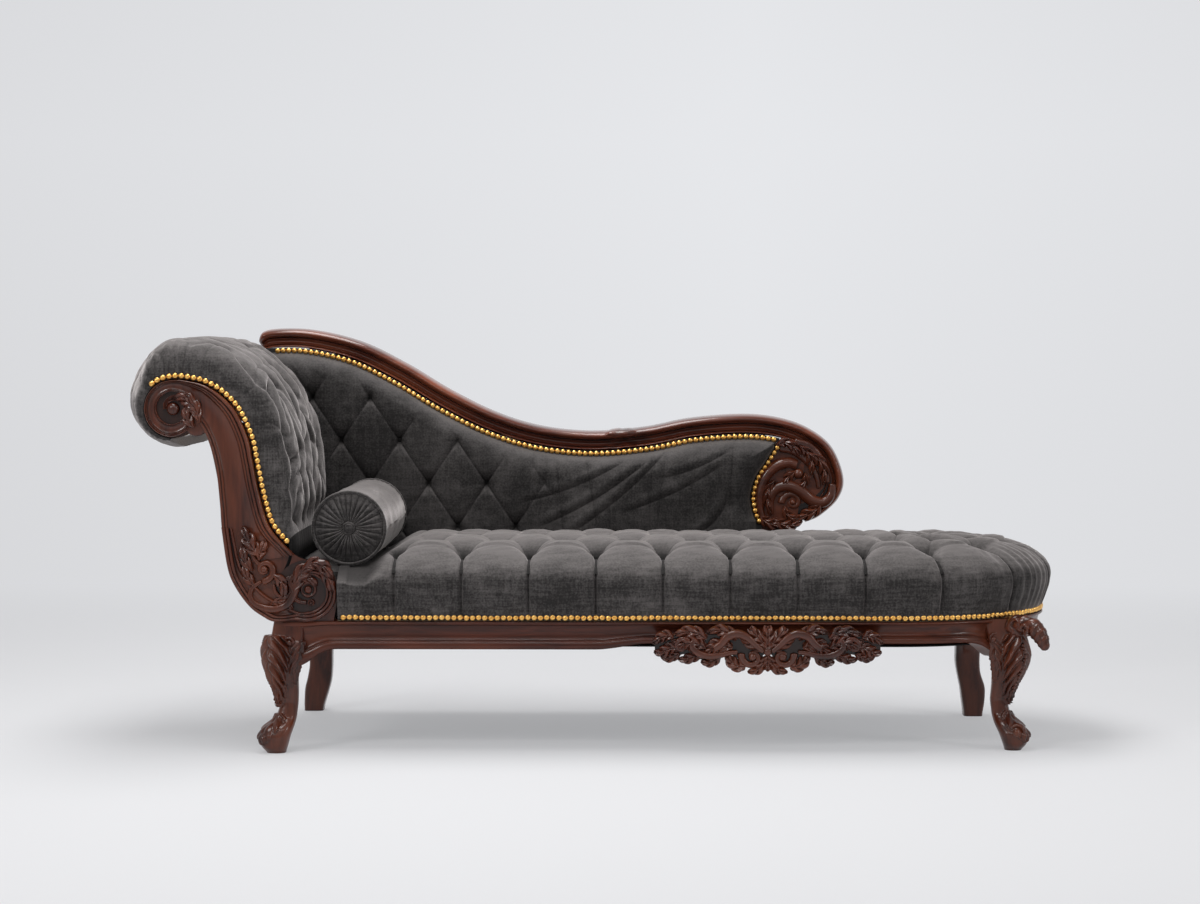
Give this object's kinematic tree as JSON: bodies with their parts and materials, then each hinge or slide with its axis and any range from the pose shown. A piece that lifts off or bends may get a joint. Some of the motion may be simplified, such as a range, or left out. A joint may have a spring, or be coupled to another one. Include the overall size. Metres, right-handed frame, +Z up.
{
  "type": "fainting couch",
  "caption": "Victorian-style fainting couch: carved dark wood frame with one scrolled head end, low scrolled back, rounded foot, button-tufted grey velvet and a loose bolster.",
  "frame": {"origin": "On the floor, under the middle of the outside box.", "axes": "+X runs from the scrolled head to the rounded foot, -Y is the open front side, +Y the back side, +Z up."},
  "size_m": [1.92, 0.714, 0.8557],
  "materials": {
    "polished_wood": "dark reddish mahogany stain, satin polish",
    "frame_wood": "plain unfinished beech, hidden",
    "velvet": "charcoal grey velvet with a brushed nap",
    "linen": "undyed jute webbing and linen, hidden",
    "dust_cloth": "thin black dust cloth",
    "brass": "bright gold brass, domed"
  },
  "bodies": {
    "couch": {"front_seat_rail": "polished_wood", "foot_rail_front": "polished_wood", "foot_rail_end": "polished_wood", "foot_rail_rear": "polished_wood", "rear_seat_rail": "polished_wood", "head_seat_rail": "polished_wood", "middle_cross_rail": "frame_wood", "foot_cross_rail": "frame_wood", "corner_blocks": "frame_wood", "head_front_leg": "polished_wood", "foot_front_leg": "polished_wood", "head_rear_leg": "polished_wood", "foot_rear_leg": "polished_wood", "apron_carving": "polished_wood", "front_head_scroll": "polished_wood", "rear_head_post": "frame_wood", "head_roll_bar": "frame_wood", "head_slats": "frame_wood", "crest_rail": "polished_wood", "crest_collar": "polished_wood", "back_foot_scroll": "polished_wood", "back_bottom_rail": "frame_wood", "back_head_stile": "frame_wood", "back_middle_stile": "frame_wood", "back_foot_stile": "frame_wood", "back_scroll_stile": "polished_wood", "seat_webbing": "linen", "seat_hessian": "linen", "dust_cover": "dust_cloth", "head_hessian": "linen", "back_hessian": "linen", "outside_head_panel": "velvet", "outside_back_panel": "velvet", "seat_cushion": "velvet", "head_cushion": "velvet", "back_cushion": "velvet", "seat_buttons": "velvet", "head_buttons": "velvet", "back_buttons": "velvet", "seat_nails": "brass", "head_nails": "brass", "back_nails": "brass", "scroll_nails": "brass"},
    "bolster": {"bolster_pillow": "velvet", "bolster_piping": "velvet", "bolster_buttons": "velvet"}
  },
  "joints": [
    {"name": "bolster_lift", "type": "slide", "parent": "couch", "child": "bolster", "axis": [0, 0, 1], "range_m": [0, 0.4]}
  ]
}
